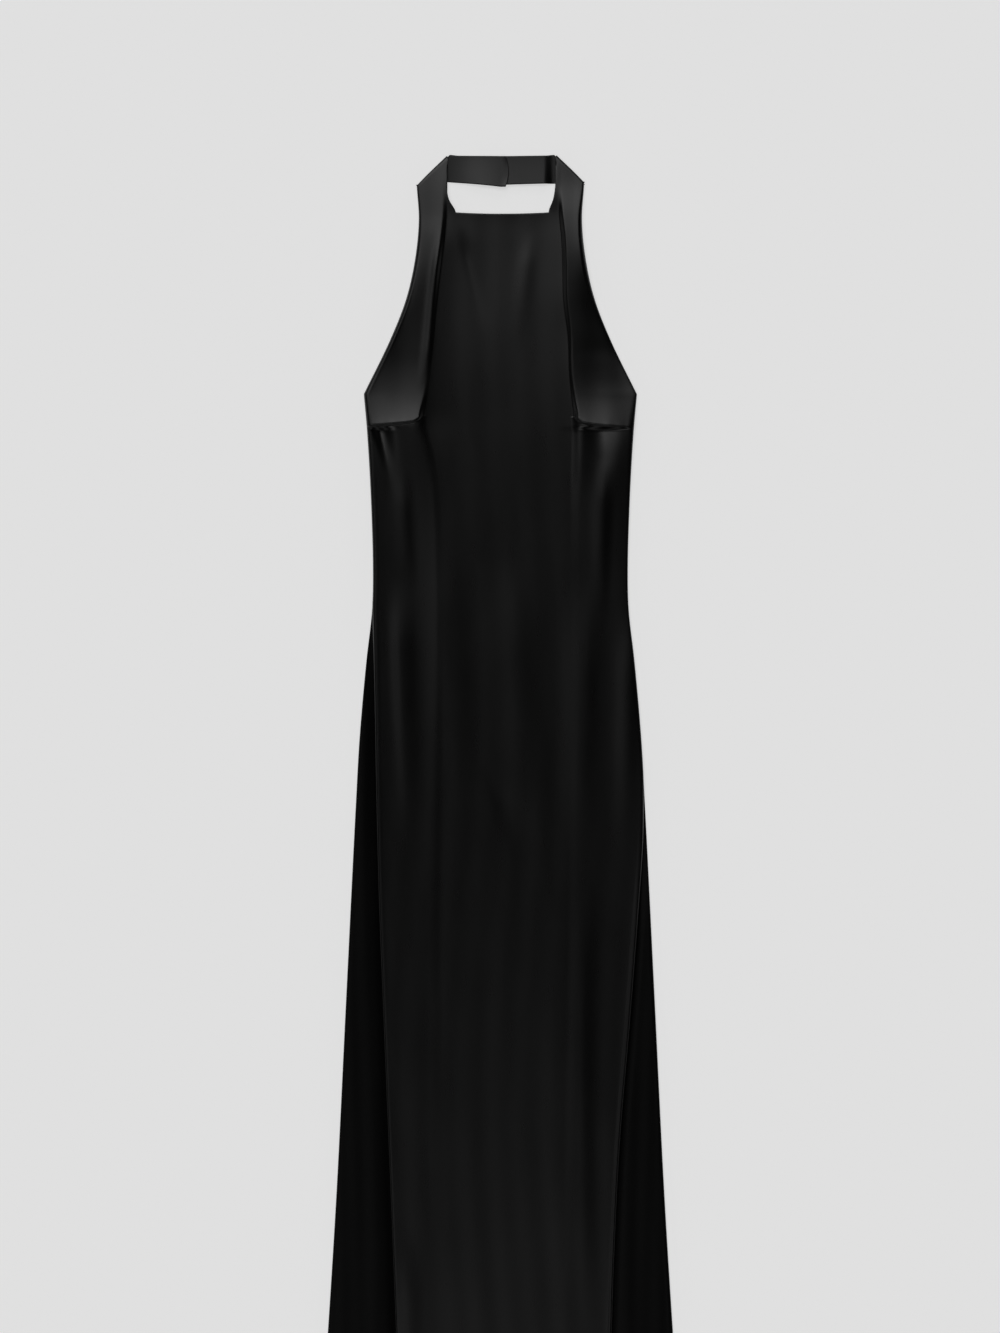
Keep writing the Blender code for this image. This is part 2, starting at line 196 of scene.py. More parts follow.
# Height of each side of the front above the layer it lies on, at its outer edge, half way and
# along the fold beside the strap: the raised bust side, then the flank below its dart
Height = namedtuple("Height", "down edge middle fold")
BUST = {
    "left": [
        Height(0.0, 0.3, 0.4, 0.5),
        Height(37.5, 2.4, 2.7, 3.0),
        Height(75.0, 4.2, 4.7, 5.2),
        Height(100.0, 5.4, 6.1, 6.8),
        Height(125.0, 6.3, 6.8, 7.3),
        Height(150.0, 7.0, 7.0, 7.1),
        Height(185.0, 7.5, 6.7, 6.4),
        Height(215.0, 7.4, 6.3, 6.0),
        Height(245.0, 7.0, 6.0, 5.9),
        Height(258.0, 6.8, 5.9, 5.9),
        Height(270.0, 6.8, 6.0, 6.1),
        Height(285.0, 7.1, 6.4, 6.6),
        Height(300.0, 7.7, 7.1, 7.4),
        Height(315.0, 8.5, 8.2, 8.5),
        Height(330.0, 9.4, 9.75, 10.1),
        Height(345.0, 10.3, 11.9, 12.2),
    ],
    "right": [
        Height(0.0, 0.3, 0.4, 0.5),
        Height(37.5, 2.4, 2.7, 2.8),
        Height(75.0, 6.2, 6.7, 6.9),
        Height(100.0, 8.2, 8.6, 8.8),
        Height(121.0, 9.2, 9.5, 9.6),
        Height(145.0, 8.8, 9.6, 9.8),
        Height(170.0, 6.4, 8.8, 9.3),
        Height(200.0, 3.4, 7.2, 8.6),
        Height(230.0, 1.4, 5.8, 8.0),
        Height(245.0, 0.7, 5.0, 7.8),
        Height(260.0, 0.8, 4.7, 7.7),
        Height(271.0, 1.1, 4.5, 7.7),
        Height(286.0, 1.7, 4.5, 7.9),
        Height(301.0, 2.7, 5.1, 8.4),
        Height(316.0, 3.8, 6.4, 9.4),
        Height(331.0, 4.9, 8.3, 10.8),
        Height(345.0, 6.0, 10.6, 12.6),
    ],
}
FLANK = {
    "left": [
        Height(340.0, 7.2, 7.6, 8.2),
        Height(360.0, 6.9, 7.0, 7.3),
        Height(385.0, 6.6, 6.0, 6.1),
        Height(425.0, 6.2, 4.5, 5.0),
        Height(500.0, 6.0, 3.4, 4.1),
        Height(560.0, 5.8, 3.2, 3.6),
        Height(700.0, 5.6, 3.1, 3.3),
        Height(900.0, 4.6, 3.3, 3.2),
        Height(1100.0, 4.0, 3.3, 3.1),
        Height(TOTAL_LENGTH, 4.0, 3.2, 3.0),
    ],
    "right": [
        Height(342.0, 5.4, 7.6, 9.0),
        Height(360.0, 4.8, 7.1, 8.2),
        Height(385.0, 3.8, 6.2, 7.0),
        Height(425.0, 2.6, 4.5, 4.8),
        Height(500.0, 1.9, 3.0, 3.3),
        Height(620.0, 1.9, 2.6, 2.7),
        Height(700.0, 2.3, 2.6, 2.5),
        Height(760.0, 3.4, 2.8, 2.6),
        Height(1100.0, 3.4, 3.0, 3.1),
        Height(TOTAL_LENGTH, 3.4, 3.0, 3.0),
    ],
}

# Height of the panel between the folds: along its middle, how much it rises evenly from there to
# both sides, and how much more beside each fold
Panel = namedtuple("Panel", "down middle hammock left_foot right_foot")
PANEL = [
    Panel(0.0, 0.4, 0.0, 0.0, 0.0),
    Panel(37.5, 2.9, 0.0, 0.0, 0.0),
    Panel(50.0, 3.4, 0.0, 0.0, 0.0),
    Panel(72.5, 2.6, 0.3, 0.8, 0.6),
    Panel(110.0, 2.6, 0.6, 2.2, 1.8),
    Panel(136.0, 2.7, 0.7, 2.6, 2.2),
    Panel(181.0, 2.9, 0.8, 3.0, 2.4),
    Panel(300.0, 3.3, 0.8, 3.0, 1.8),
    Panel(345.0, 3.3, 0.7, 2.8, 1.4),
    Panel(370.0, 3.2, 0.6, 2.2, 1.0),
    Panel(420.0, 2.9, 0.4, 1.8, 0.5),
    Panel(520.0, 2.5, 0.2, 1.4, 0.1),
    Panel(700.0, 2.2, 0.0, 0.7, 0.0),
    Panel(900.0, 2.4, 0.0, 0.2, 0.0),
    Panel(TOTAL_LENGTH, 3.2, 0.0, 0.0, 0.0),
]

# How far the panel's rise beside each fold reaches, the width in which the panel runs into the
# flank, the width in which the faint waves fade at the edge, and the least height of all
FOOT_REACH = {"left": 18.0, "right": 12.0}
FLANK_BLEND = 15.0
EDGE_FADE = 12.0
LEAST_HEIGHT = 0.1

# The bust darts: how far down each lies at the side seam and at its point, where it turns up
# into the strap's fold
DART_AT_SEAM = {"left": 341.5, "right": 344.0}
DART_AT_POINT = {"left": 333.0, "right": 335.0}
DART_CORNER = 14.0
STEP_WIDTH = 7.0
DART_STEP = 3.5

# The mesh's rows follow a dart within this distance above and below it, from this far across
DART_REACH = 30.0
DART_ROWS_FROM = 50.0
DART_ROWS_BLEND = 40.0

# The puckers along a dart: their height, how far above and below it they reach, and how far past
# its point they start and are full
PUCKER_HEIGHT = 0.25
PUCKER_REACH = 4.0
PUCKER_START = 2.0
PUCKER_RISE = 8.0

# The crest beside a strap's fold stands up over the raised bust side outside it
CREST_HEIGHT = {"left": 2.0, "right": 0.0}
CREST_WIDTH = 5.5
CREST_TOP = 90.0
CREST_BOTTOM = 300.0
CREST_FADE = 60.0

# The front's edge stands up in a thin rim where the back's right margin shows beyond it
RIM_HEIGHT = {"left": 0.0, "right": 0.9}
RIM_WIDTH = 3.5

# Soft folds of the front, as ridges, or troughs where the height is below zero: the middle line
# from top to bottom and its sideways bow, the width of the left and the right slope at the top,
# how wide they are at the bottom for 1 at the top, the share of the length in which the fold
# rises, and its height
Fold = namedtuple("Fold", "name top_x top_down low_x low_down bow left right taper rise height")
FOLDS = [
    Fold("crease under the left neck corner", -50, 88, -19, 225, 0, 6, 7, 1.3, 0.3, -1.0),
    Fold("ridge under the right neck corner", 37, 95, 22, 250, 0, 9, 9, 1.2, 0.3, 0.7),
    Fold("ridge under the left dart", -124, 385, -113, 560, 0, 11, 8, 1.0, 0.35, 1.5),
    Fold("ridge under the right dart", 128, 375, 125, 600, 0, 13, 10, 0.7, 0.3, 2.2),
    Fold("left waist ridge", -128, 525, -110, 900, -2, 10, 17, 1.0, 0.25, 2.6),
    Fold("left hip ridge", -72, 430, -42, 930, -3, 20, 24, 1.0, 0.3, 2.0),
    Fold("middle ridge", 10, 500, 52, 930, -3, 30, 22, 1.0, 0.3, 2.0),
    Fold("slanting trough", -28, 750, 50, 920, 0, 9, 26, 1.1, 0.4, -0.8),
    Fold("right waist ridge", 108, 520, 98, 980, 0, 24, 14, 1.0, 0.3, 2.0),
    Fold("right hip ridge", 162, 560, 155, 890, 0, 14, 12, 1.0, 0.3, 1.9),
    Fold("skirt ridge", 98, 860, 102, 1600, 0, 90, 16, 1.0, 0.25, 2.4),
    Fold("ridge in the left hem corner", -116, 1340, -108, 1640, 0, 12, 14, 1.0, 0.3, 1.4),
]

# The dimples right under both darts, which are deep at the seam and rise again below it
DIMPLES = [
    Fold("dimple under the left dart", -151, 339, -127, 440, 0, 8, 12, 0.8, 0.07, -6.0),
    Fold("dimple under the right dart", 128, 339, 126, 432, 0, 24, 19, 0.6, 0.07, -6.0),
]
DIMPLE_FADE = 1.8

# A fold is flat beyond this many times its slope's width
FOLD_REACH = 3.5

# Columns of the front's mesh, from the turned edge to the middle
RETURN_COLUMNS = 2
ROLL_COLUMNS = 7
CUP_COLUMNS = 28
STEP_COLUMNS = 10
FOOT_COLUMNS = 7
MIDDLE_COLUMNS = 66
SIDE_COLUMNS = RETURN_COLUMNS + ROLL_COLUMNS + CUP_COLUMNS + STEP_COLUMNS + FOOT_COLUMNS
FRONT_COLUMNS = 2 * SIDE_COLUMNS + MIDDLE_COLUMNS

# Rows of the front's mesh: over the strap's top fold, down the strap, then as close together as
# each stretch below the neckline needs
STRAP_ROLL_ROWS = 5
STRAP_ROWS = 18
Stretch = namedtuple("Stretch", "to_down spacing")
FRONT_STRETCHES = [
    Stretch(80.0, 1.5),
    Stretch(UNDERARM, 5.0),
    Stretch(325.0, 3.2),
    Stretch(352.0, 1.1),
    Stretch(400.0, 3.2),
    Stretch(620.0, 6.5),
    Stretch(1000.0, 8.5),
    Stretch(TOTAL_LENGTH - 6.0, 13.0),
    Stretch(TOTAL_LENGTH, 1.5),
]
BACK_STRETCHES = [
    Stretch(UNDERARM + 6.0, 1.5),
    Stretch(600.0, 9.0),
    Stretch(TOTAL_LENGTH - 6.0, 12.0),
    Stretch(TOTAL_LENGTH, 1.5),
]

# Columns of the back's mesh
MARGIN_COLUMNS = 30
BACK_ROLL_COLUMNS = 7
UNDER_COLUMNS = 60
BACK_COLUMNS = 2 * (MARGIN_COLUMNS + BACK_ROLL_COLUMNS) + UNDER_COLUMNS

# The neckband's two halves, which meet in an overlap at the centre back: how far down their edges
# lie at the strap and at the middle, how much the top edge is lifted and how much more the lower
# one, and over what width away from the strap they rise so
BAND_COLUMNS = 110
BAND_ROWS = 26
Band = namedtuple(
    "Band",
    "top_at_strap top_at_middle low_at_strap low_at_middle top_lift low_lift slope_width",
)
BAND = {
    "left": Band(0.9, 2.0, 32.5, 40.6, 1.2, 3.4, 45.0),
    "right": Band(1.0, 1.9, 35.6, 38.0, 2.0, 1.8, 11.0),
}
BAND_REST = 0.35

# The half neckbands leave the fold under their straps over one part in this many of their length
CLEAR_RATE = 6.0

# Where the left half ends on top and the right half below it, how far the left one's corners are
# cut back, and how far it steps up, over what length and with what lift at its corners
OVERLAP_END = 10.5
OVERLAP_START = -18.0
OVERLAP_CHAMFER = 4.0
OVERLAP_BLEND = 40.0
OVERLAP_STEP = 1.9
CORNER_LIFT = 1.2

# Height of the satin's floating threads over the ones they cross, the strength with which the
# shader draws it, and how much the gloss varies over the cloth
FLOAT_HEIGHT = 0.006
WEAVE_STRENGTH = 0.2
GLOSS_VARIATION = 0.015

# The photograph's frame at the dress's real size
PHOTO_WIDTH, PHOTO_HEIGHT = 1000, 1333
MM_PER_PIXEL = 1.25
PHOTO_TOP_OF_BAND = 155.0
PHOTO_MIDDLE_LINE = 500.4

# The floor's half size in metres, and how far it lies below the dress in millimetres
FLOOR_HALF_SIZE = 12.0
FLOOR_DROP = 0.2


class DressSizes(bpy.types.PropertyGroup):
    cloth_thickness: bpy.props.FloatProperty(
        name="Cloth thickness", description="Thickness of the satin", default=0.0007, unit="LENGTH"
    )
    waviness: bpy.props.FloatProperty(
        name="Waviness",
        description="Height of the satin's faint waves",
        default=0.00025,
        unit="LENGTH",
    )


class DressFinish(bpy.types.PropertyGroup):
    face_colour: bpy.props.StringProperty(
        name="Face", description="sRGB hex colour of the satin's face", default="#020202"
    )
    wrong_side_colour: bpy.props.StringProperty(
        name="Wrong side", description="sRGB hex colour of the satin's wrong side", default="#030303"
    )
    face_roughness: bpy.props.FloatProperty(
        name="Face roughness", description="Roughness of the satin's face", default=0.28
    )
    wrong_side_roughness: bpy.props.FloatProperty(
        name="Wrong side roughness", description="Roughness of the wrong side", default=0.36
    )


class StageSettings(bpy.types.PropertyGroup):
    floor_colour: bpy.props.StringProperty(
        name="Floor", description="sRGB hex colour of the pale floor", default="#d0d0d0"
    )
    lens: bpy.props.FloatProperty(
        name="Lens", description="Focal length of the camera in millimetres", default=100.0
    )
    dim: bpy.props.FloatProperty(
        name="Dim", description="Brightness of the studio between its soft lights", default=0.005
    )
    light_table: bpy.props.FloatProperty(
        name="Light table", description="Glow of the pale floor, lit from below", default=0.56
    )


# Soft lights around the dress: the direction to each one's middle, how far it spreads sideways,
# lengthways and up and down, and its brightness
Softlight = namedtuple("Softlight", "towards width length depth brightness")
SOFTLIGHTS = [
    Softlight((-0.12, 0.41, 0.9), 0.6, 0.35, 0.5, 2.5),
    Softlight((-0.15, -0.42, 0.89), 0.6, 0.35, 0.5, 1.1),
    Softlight((-0.29, 0.0, 0.957), 0.22, 0.5, 0.5, 0.26),
    Softlight((-0.5, 0.2, 0.84), 0.25, 0.25, 0.4, 0.7),
    Softlight((0.0, 0.9, 0.43), 0.8, 0.35, 0.4, 1.0),
    Softlight((0.0, 0.0, 0.1), 3.0, 3.0, 0.5, 0.4),
]


def linear_colour(text):
    """Turns an sRGB hex colour into Blender's linear one."""
    parts = [int(text[i : i + 2], 16) / 255 for i in (1, 3, 5)]
    linear = [c / 12.92 if c <= 0.04045 else ((c + 0.055) / 1.055) ** 2.4 for c in parts]
    return (*linear, 1.0)


def add_node(tree, kind, settings=(), inputs=(), links=()):
    """Adds a node with its settings, its sockets' values and the sockets that feed it."""
    node = tree.nodes.new(kind)
    for name, value in dict(settings).items():
        setattr(node, name, value)
    for name, value in dict(inputs).items():
        node.inputs[name].default_value = value
    for name, source in dict(links).items():
        tree.links.new(source, node.inputs[name])
    return node


def woven_satin(name, colour, roughness, warp_gloss, gloss_index):
    """Polyester satin, woven with long floats along the dress. Close to, its threads give a fine
    ribbed gloss; from a step away it has a deep black colour and soft, wide highlights. Its gloss
    is stretched by warp_gloss and grows with gloss_index."""
    material = bpy.data.materials.new(name)
    material.use_nodes = True
    tree = material.node_tree
    shader = tree.nodes["Principled BSDF"]
    shader.inputs["Base Color"].default_value = linear_colour(colour)
    shader.inputs["Roughness"].default_value = roughness
    shader.inputs["IOR"].default_value = gloss_index
    shader.inputs["Anisotropic"].default_value = warp_gloss
    cloth_map = add_node(tree, "ShaderNodeUVMap", {"uv_map": "Cloth"})
    tangent = add_node(tree, "ShaderNodeTangent", {"direction_type": "UV_MAP", "uv_map": "Cloth"})
    tree.links.new(tangent.outputs["Tangent"], shader.inputs["Tangent"])

    # Threads 0.25 mm apart are drawn 0.8 mm apart, so that they show at all
    thread = add_node(
        tree,
        "ShaderNodeMapping",
        inputs={"Scale": (1250.0, 90.0, 1.0)},
        links={"Vector": cloth_map.outputs["UV"]},
    )
    threads = add_node(
        tree,
        "ShaderNodeTexNoise",
        {"noise_dimensions": "2D"},
        {"Scale": 1.0, "Detail": 2.0, "Roughness": 0.5},
        {"Vector": thread.outputs["Vector"]},
    )
    # Slight unevenness of the weave, over 15 mm across and 60 mm along
    uneven = add_node(
        tree,
        "ShaderNodeMapping",
        inputs={"Scale": (66.0, 16.0, 1.0)},
        links={"Vector": cloth_map.outputs["UV"]},
    )
    patches = add_node(
        tree,
        "ShaderNodeTexNoise",
        {"noise_dimensions": "2D"},
        {"Scale": 1.0, "Detail": 3.0, "Roughness": 0.55},
        {"Vector": uneven.outputs["Vector"]},
    )
    gloss = add_node(
        tree,
        "ShaderNodeMapRange",
        inputs={"To Min": roughness - GLOSS_VARIATION, "To Max": roughness + GLOSS_VARIATION},
        links={"Value": patches.outputs["Fac"]},
    )
    tree.links.new(gloss.outputs["Result"], shader.inputs["Roughness"])
    weave = add_node(
        tree,
        "ShaderNodeBump",
        inputs={"Strength": WEAVE_STRENGTH, "Distance": FLOAT_HEIGHT * MM},
        links={"Height": threads.outputs["Fac"]},
    )
    tree.links.new(weave.outputs["Normal"], shader.inputs["Normal"])
    return material


def light_table(name, colour, glow):
    """Opal acrylic lit from below: pale, even and without gloss."""
    material = bpy.data.materials.new(name)
    material.use_nodes = True
    tree = material.node_tree
    shader = tree.nodes["Principled BSDF"]
    shader.inputs["Base Color"].default_value = linear_colour(colour)
    shader.inputs["Roughness"].default_value = 0.9
    shader.inputs["Specular IOR Level"].default_value = 0.1
    shader.inputs["Emission Color"].default_value = (1.0, 1.0, 1.0, 1.0)
    shader.inputs["Emission Strength"].default_value = glow
    return material


def blend(low, high, share):
    return low + (high - low) * share


def ease(value):
    """Runs smoothly from 0 to 1 as the value does, and stays there outside."""
    value = min(max(value, 0.0), 1.0)
    return value * value * (3.0 - 2.0 * value)


def curve_through(rows, column):
    """A function of the distance down, which runs smoothly through one column of a table."""
    downs = [row.down for row in rows]
    values = [getattr(row, column) for row in rows]
    steps = [
        (values[k + 1] - values[k]) / (downs[k + 1] - downs[k]) for k in range(len(rows) - 1)
    ]
    slopes = [steps[0], *(blend(a, b, 0.5) for a, b in zip(steps, steps[1:])), steps[-1]]

    def at(down):
        if down <= downs[0]:
            return values[0]
        if down >= downs[-1]:
            return values[-1]
        k = next(k for k in range(len(downs) - 1) if down <= downs[k + 1])
        span = downs[k + 1] - downs[k]
        t = (down - downs[k]) / span
        return (
            values[k] * (1 + 2 * t) * (1 - t) ** 2
            + slopes[k] * span * t * (1 - t) ** 2
            + values[k + 1] * t * t * (3 - 2 * t)
            + slopes[k + 1] * span * t * t * (t - 1)
        )

    return at


armhole_half = curve_through(ARMHOLE, "half")
side_half = curve_through(SIDE, "half")
front_edge_half = {side: curve_through(rows, "half") for side, rows in FRONT_EDGE.items()}
strap_fold = {side: curve_through(rows, "fold") for side, rows in STRAP.items()}
strap_inner = {side: curve_through(rows, "inner") for side, rows in STRAP.items()}
bust = {
    side: [curve_through(rows, column) for column in ("edge", "middle", "fold")]
    for side, rows in BUST.items()
}
flank = {
    side: [curve_through(rows, column) for column in ("edge", "middle", "fold")]
    for side, rows in FLANK.items()
}
panel_middle = curve_through(PANEL, "middle")
panel_hammock = curve_through(PANEL, "hammock")
panel_foot = {side: curve_through(PANEL, f"{side}_foot") for side in ("left", "right")}


def outline_half(down):
    return armhole_half(down) if down < UNDERARM else side_half(down)


def front_half(side, down):
    """Half width of the front layer: the outline, until the skirt's rolled edge leaves it."""
    if down < FRONT_EDGE[side][0].down:
        return outline_half(down)
    return min(outline_half(down), front_edge_half[side](down))


def margin_share(side, down):
    """0 where front and back meet at the outline, 1 where the back's margin shows well past."""
    return ease((outline_half(down) - front_half(side, down)) / MARGIN_IN_SIGHT)


def turned_level(down):
    """Height of the front's turned-under edge: over the neckband, then over the back."""
    share = ease((down - EDGE_RISE_START) / EDGE_RISE_LENGTH)
    return BACK_LEVEL + LAYER + LAYER * share


def top_level(down):
    """The height from which the front's relief is measured, one layer above its turned edge."""
    share = ease((down - NECKLINE) / (UNDERARM - NECKLINE))
    return BACK_LEVEL + 2 * LAYER + LAYER * share


def dart_line(side, across):
    """How far down the dart runs, at a distance across from the middle."""
    point = strap_fold[side](DART_AT_POINT[side])
    seam = outline_half(DART_AT_SEAM[side])
    share = (across - point) / (seam - point)
    return blend(DART_AT_POINT[side], DART_AT_SEAM[side], math.sqrt(min(max(share, 0.0), 1.0)))


def inside_cup(side, across, down):
    """Distance inside the raised bust side, past the strap's fold and above the dart."""
    past_fold = across - strap_fold[side](down) + STEP_WIDTH / 2
    above_dart = (dart_line(side, across) - down) * STEP_WIDTH / DART_STEP
    if past_fold < DART_CORNER and above_dart < DART_CORNER:
        return DART_CORNER - math.hypot(DART_CORNER - past_fold, DART_CORNER - above_dart)
    return min(past_fold, above_dart)


def side_height(heights, side, across, down, limit):
    """Height of one side of the front, from the strap's fold out to its limit."""
    fold = strap_fold[side](down)
    share = min(max((across - fold) / (limit - fold), 0.0), 1.0)
    edge, middle, inner = (height(down) for height in heights[side])
    return (
        inner * (1 - share) * (1 - 2 * share) + 4 * middle * share * (1 - share)
        - edge * share * (1 - 2 * share)
    )


def crest_height(side, across, down):
    away = max(across - strap_fold[side](down) - STEP_WIDTH / 2, 0.0) / CREST_WIDTH
    along = ease((down - CREST_TOP) / CREST_FADE) * ease((CREST_BOTTOM - down) / CREST_FADE)
    return CREST_HEIGHT[side] * along * math.exp(-away * away)


def fade_evenly(share, rise):
    """A fold rises smoothly from nothing and runs out as smoothly."""
    return ease(share / rise) * ease((1.0 - share) / (1.0 - rise))


def fade_steeply(share, rise):
    """A dimple is deepest at its top and rises at once below it, ever more gently."""
    return ease(share / rise) * min((1.0 - share) / (1.0 - rise), 1.0) ** DIMPLE_FADE


def fold_height(fold, x, down, fade):
    """Height that a fold of the table adds at one place of the front."""
    share = (down - fold.top_down) / (fold.low_down - fold.top_down)
    if not 0.0 < share < 1.0:
        return 0.0
    middle = blend(fold.top_x, fold.low_x, share) + fold.bow * math.sin(math.pi * share)
    width = (fold.left if x < middle else fold.right) * blend(1.0, fold.taper, share)
    away = (x - middle) / width
    if abs(away) > FOLD_REACH:
        return 0.0
    return fold.height * fade(share, fold.rise) * math.exp(-away * away)


def faint_waves(x, down):
    """The slight unevenness of satin that has been laid down by hand, from -1 to 1."""
    return (
        0.35 * math.sin(x / 5.5 + 2.2 * math.sin(down / 150.0))
        + 0.35 * math.sin(x / 9.5 - down / 160.0 + 1.3)
        + 0.30 * math.sin(down / 30.0 + 1.7 * math.sin(x / 33.0) + 0.6)
    )


def neckline_down(x):
    """How far down the neckline lies, with its slight sag."""
    reach = strap_inner["right" if x > 0 else "left"](NECKLINE)
    return NECKLINE + NECKLINE_SAG * max(1.0 - (x / reach) ** 2, 0.0)


def low_height(side, x, down):
    """Height of the front where it isn't raised: the panel between the straps, and the flanks."""
    across = abs(x)
    fold = strap_fold[side](down)
    from_crest = max(fold + STEP_WIDTH / 2 - across, 0.0)
    height = panel_middle(down) + panel_hammock(down) * min(across / fold, 1.0) ** 2
    height += panel_foot[side](down) * math.exp(-from_crest / FOOT_REACH[side])
    if down > FLANK[side][0].down - DART_CORNER:
        outer = side_height(flank, side, across, down, front_half(side, down))
        height = blend(height, outer, ease((across - fold) / FLANK_BLEND + 0.5))
    height += sum(fold_height(dimple, x, down, fade_steeply) for dimple in DIMPLES)
    return height + sum(fold_height(fold, x, down, fade_evenly) for fold in FOLDS)


def dart_puckers(side, across, down):
    """The dart's seam draws the cloth into small puckers on both sides."""
    away = abs(down - dart_line(side, across))
    length = ease((across - strap_fold[side](down) - PUCKER_START) / PUCKER_RISE)
    waves = 0.6 * math.sin(across / 2.3) + 0.4 * math.sin(across / 4.1 + 1.0)
    return length * waves * PUCKER_HEIGHT * math.exp(-away / PUCKER_REACH)


def relief(x, down):
    """Height of the front above the layer that its edges lie on."""
    side = "left" if x < 0 else "right"
    across = abs(x)
    raised = ease(inside_cup(side, across, down) / STEP_WIDTH)
    height = low_height(side, x, down)
    if raised > 0.0:
        cup = side_height(bust, side, across, down, outline_half(down))
        cup += crest_height(side, across, down)
        height = blend(height, cup, raised)
    from_edge = front_half(side, down) - across
    height += ease(from_edge / EDGE_FADE) * faint_waves(x, down) * sizes().waviness / MM
    rim = math.exp(-((from_edge / RIM_WIDTH) ** 2))
    height += margin_share(side, down) * RIM_HEIGHT[side] * rim
    if abs(down - DART_AT_SEAM[side]) < DART_REACH:
        height += dart_puckers(side, across, down)
    return max(height, LEAST_HEIGHT)


def roll_point(turn, edge, level, rise):
    """A point of a rolled edge, from the turned-under layer (turn 0) over to the top (turn 1)."""
    angle = math.pi * (turn - 0.5)
    radius = rise / 2
    return edge - radius + radius * math.cos(angle), level + radius + radius * math.sin(angle)


def place(x, down, height):
    """A point of the dress in Blender's metres."""
    return (x * MM, (TOTAL_LENGTH / 2 - down) * MM, height * MM)


def rows_down(start, stretches):
    """Distances down of a mesh's rows, as close together as each stretch asks for."""
    downs = [start]
    for stretch in stretches:
        begin = downs[-1]
        count = max(round((stretch.to_down - begin) / stretch.spacing), 1)
        downs += [blend(begin, stretch.to_down, k / count) for k in range(1, count + 1)]
    return downs


FRONT_DOWNS = rows_down(NECKLINE, FRONT_STRETCHES)
BACK_DOWNS = rows_down(UNDERARM, BACK_STRETCHES)
FIRST_BODY_ROW = STRAP_ROLL_ROWS + STRAP_ROWS
FRONT_ROWS = FIRST_BODY_ROW + len(FRONT_DOWNS) - 1


def dart_shift(side, across, down):
    """Moves the rows near a dart so that they run along it."""
    near = 1.0 - ease(abs(down - DART_AT_SEAM[side]) / DART_REACH)
    outside = ease((across - DART_ROWS_FROM) / DART_ROWS_BLEND)
    return (dart_line(side, across) - DART_AT_SEAM[side]) * near * outside


def front_across(side, on_top, down):
    """Distance from the middle of a column of the front's upper side, counted from its edge."""
    mirror = -1 if side == "left" else 1
    edge = front_half(side, down)
    roll = (top_level(down) - turned_level(down) + relief(mirror * edge, down)) / 2
    crest = strap_fold[side](down) + STEP_WIDTH / 2
    foot = strap_fold[side](down) - STEP_WIDTH / 2
    if on_top <= CUP_COLUMNS:
        return blend(edge - roll, crest, on_top / CUP_COLUMNS)
    if on_top <= CUP_COLUMNS + STEP_COLUMNS:
        return blend(crest, foot, (on_top - CUP_COLUMNS) / STEP_COLUMNS)
    past_foot = on_top - CUP_COLUMNS - STEP_COLUMNS
    return blend(foot, strap_inner[side](down), past_foot / FOOT_COLUMNS)


def front_down(side, on_top, row):
    """How far down a point lies: a strap's rows start from the slanting fold at its top."""
    if row >= FIRST_BODY_ROW:
        return FRONT_DOWNS[row - FIRST_BODY_ROW]
    share = max(row - STRAP_ROLL_ROWS, 0) / STRAP_ROWS
    across = front_across(side, on_top, blend(STRAP_CORNER / 2, NECKLINE, share))
    start = STRAP_CORNER * (across - strap_inner[side](0.0)) / STRAP_WIDTH
    start = min(max(start, 0.0), STRAP_CORNER) + STRAP_ROLL * math.sqrt(2.0)
    return blend(start, NECKLINE, share)


def over_strap_fold(row, across, down, height):
    """Carries a point of the strap's top rows over the slanting fold, down to the neckband."""
    if row >= STRAP_ROLL_ROWS:
        return across, down, height
    angle = math.pi * (1.0 - row / STRAP_ROLL_ROWS)
    drop = max(height - BACK_LEVEL, 0.0) / 2
    shift = STRAP_ROLL * math.sin(angle) * math.sqrt(0.5)
    return across + shift, down - shift, height - drop * (1.0 - math.cos(angle))


def front_side_point(side, column, row):
    """A point of the front from its turned edge to the foot of the strap's fold."""
    mirror = -1 if side == "left" else 1
    on_top = max(column - RETURN_COLUMNS - ROLL_COLUMNS, 0)
    down = front_down(side, on_top, row)
    edge = front_half(side, down)
    level = turned_level(down)
    rise = top_level(down) - level + relief(mirror * edge, down)
    if column < RETURN_COLUMNS:
        width = blend(TURNED_EDGE, SKIRT_RETURN, margin_share(side, down))
        across = edge - rise / 2 - width * (1.0 - column / RETURN_COLUMNS)
        height = level
    elif on_top == 0:
        across, height = roll_point((column - RETURN_COLUMNS) / ROLL_COLUMNS, edge, level, rise)
    else:
        across = front_across(side, on_top, down)
        down += dart_shift(side, across, down)
        height = top_level(down) + relief(mirror * across, down)
    across, down, height = over_strap_fold(row, across, down, height)
    return place(mirror * across, down, height)


def front_point(column, row):
    """A point of the front, whose columns run from the left turned edge to the right one."""
    if column <= SIDE_COLUMNS:
        return front_side_point("left", column, row)
    if column >= SIDE_COLUMNS + MIDDLE_COLUMNS:
        return front_side_point("right", FRONT_COLUMNS - column, row)
    down = FRONT_DOWNS[max(row - FIRST_BODY_ROW, 0)]
    share = (column - SIDE_COLUMNS) / MIDDLE_COLUMNS
    x = blend(-strap_inner["left"](down), strap_inner["right"](down), share)
    near_neckline = 1.0 - ease((down - NECKLINE) / NECKLINE_BLEND)
    down += (neckline_down(x) - NECKLINE) * near_neckline
    down += dart_shift("left" if x < 0 else "right", abs(x), down)
    return place(x, down, top_level(down) + relief(x, down))


def front_has_face(column, row):
    """The neck opening has no cloth between the straps."""
    return row >= FIRST_BODY_ROW or not SIDE_COLUMNS <= column < SIDE_COLUMNS + MIDDLE_COLUMNS


